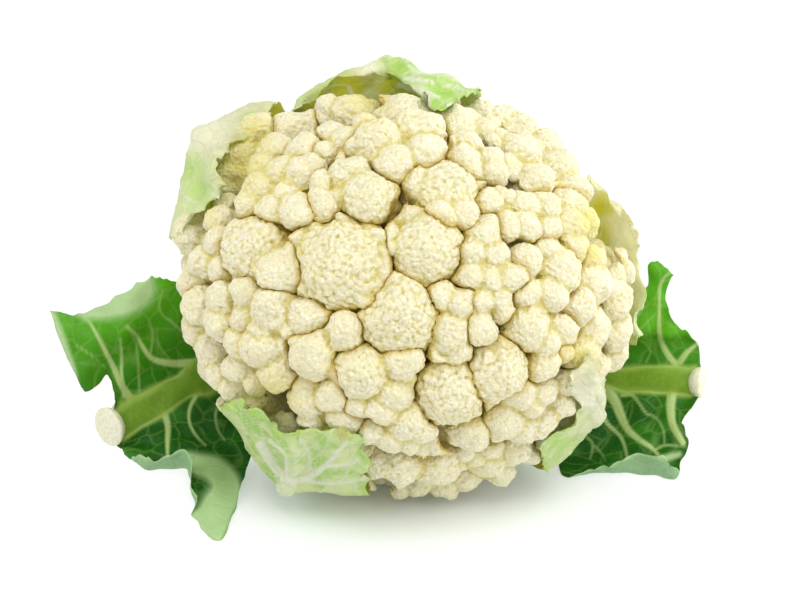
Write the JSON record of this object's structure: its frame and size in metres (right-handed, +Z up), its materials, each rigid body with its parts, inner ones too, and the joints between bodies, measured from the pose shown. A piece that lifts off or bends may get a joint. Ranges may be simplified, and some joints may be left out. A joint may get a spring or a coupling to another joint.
{
  "type": "cauliflower",
  "caption": "Trimmed cauliflower lying on its side: knobbly cream curd, thick stem, small pale leaves round its rim and two large green outer leaves.",
  "frame": {"origin": "on the surface the cauliflower lies on, in the flat patch of the curd that rests there", "axes": "+X to the right of the head as seen from the front, -Y the way the crown of the curd faces, +Z up"},
  "size_m": [0.2632, 0.1631, 0.162],
  "materials": {
    "curd": "matte",
    "stem": "satin",
    "wrapper_leaf": "satin",
    "outer_leaf": "satin",
    "cut_base": "satin"
  },
  "bodies": {
    "root": {"curd": "curd", "stem": "stem", "wrapper_leaf_top": "wrapper_leaf", "wrapper_leaf_upper_left": "wrapper_leaf", "wrapper_leaf_right": "wrapper_leaf", "wrapper_leaf_lower_right": "wrapper_leaf", "wrapper_leaf_lower_left": "wrapper_leaf", "outer_leaf_left": "outer_leaf", "outer_leaf_right": "outer_leaf", "cut_base_top_right": "cut_base", "cut_base_top": "cut_base", "cut_base_top_left": "cut_base", "cut_base_under": "cut_base"}
  },
  "joints": []
}
